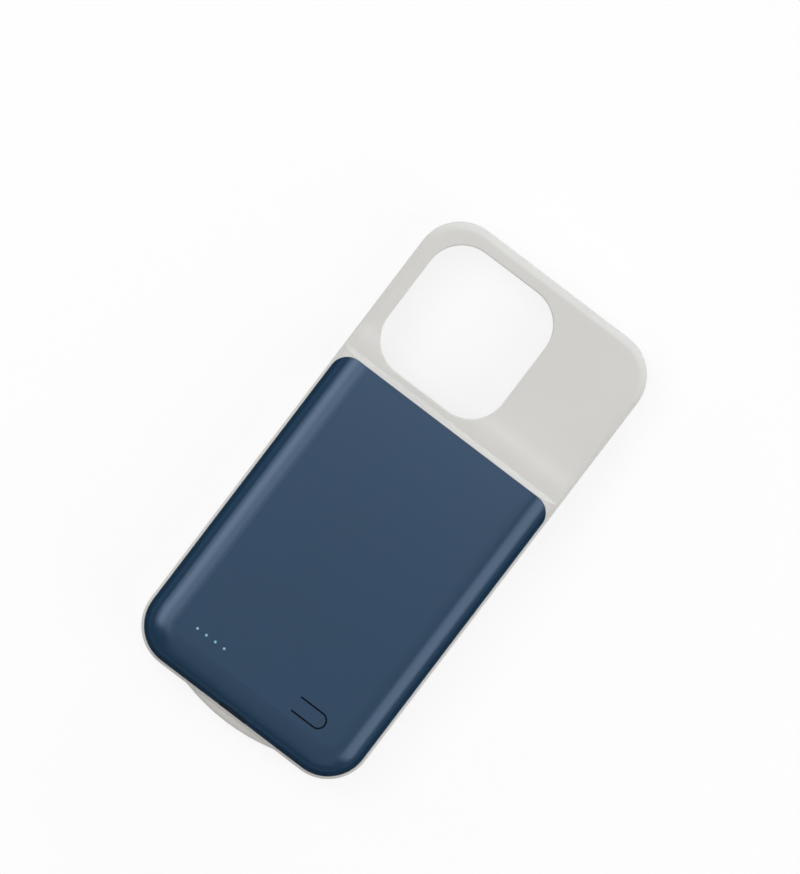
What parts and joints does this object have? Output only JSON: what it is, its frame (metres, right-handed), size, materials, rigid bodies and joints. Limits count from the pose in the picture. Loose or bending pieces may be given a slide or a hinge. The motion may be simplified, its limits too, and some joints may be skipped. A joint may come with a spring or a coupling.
{
  "type": "battery charging case",
  "caption": "Protective back case with a built-in battery: pale frame with a camera opening, blue raised battery cover, push button, charge lights, charging socket and a plug in the bay.",
  "frame": {"origin": "centre of the footprint on the surface that the front rim lies on", "axes": "+Z out of the back, +Y towards the camera opening's end, +X to the right seen from the back"},
  "size_m": [0.0756, 0.1542, 0.0175],
  "materials": {
    "pale_plastic": "fine satin moulding",
    "blue_plastic": "fine satin moulding",
    "clear_plastic": "clear and polished",
    "light_chip": "small moulded lens",
    "board_laminate": "solder mask",
    "black_plastic": "moulded",
    "white_plastic": "moulded",
    "grey_plastic": "moulded",
    "plated_steel": "nickel plated sheet",
    "screw_steel": "zinc plated",
    "ferrite": "pressed powder",
    "ceramic_chip": "fired, with plated ends",
    "cell_foil": "laminated pouch foil",
    "tape_film": "foam tape",
    "red_insulation": "extruded",
    "black_insulation": "extruded",
    "amber_film": "laminated film"
  },
  "bodies": {
    "case": {"case_frame": "pale_plastic", "battery_cover": "blue_plastic", "light_guide": "clear_plastic", "status_leds": "light_chip", "main_board": "board_laminate", "tact_switch_body": "black_plastic", "charge_port_shell": "plated_steel", "charge_port_insert": "black_plastic", "boost_inductor": "ferrite", "controller_chip": "black_plastic", "board_capacitors": "ceramic_chip", "battery_cell": "cell_foil", "cell_tape": "tape_film", "protection_board": "board_laminate", "cell_tabs": "plated_steel", "lead_positive": "red_insulation", "lead_negative": "black_insulation", "flex_cable": "amber_film", "plug_board": "board_laminate", "plug_insert": "black_plastic", "plug_shell": "plated_steel", "plug_retainer": "grey_plastic", "cover_screws": "screw_steel"},
    "button": {"button_tongue": "blue_plastic"},
    "plunger": {"tact_switch_plunger": "white_plastic"}
  },
  "joints": [
    {"name": "button_press", "type": "hinge", "parent": "case", "child": "button", "pos_m": [0.01262, -0.0608, 0.01725], "axis": [0, 1, 0], "range_deg": [0, 2], "stiffness_Nm_per_rad": 0.3},
    {"name": "plunger_travel", "type": "slide", "parent": "case", "child": "plunger", "axis": [0, 0, -1], "range_m": [0, 0.00025]}
  ],
  "couplings": [
    {"joint": "plunger_travel", "follows": "button_press", "m_per_rad": 0.0069}
  ]
}
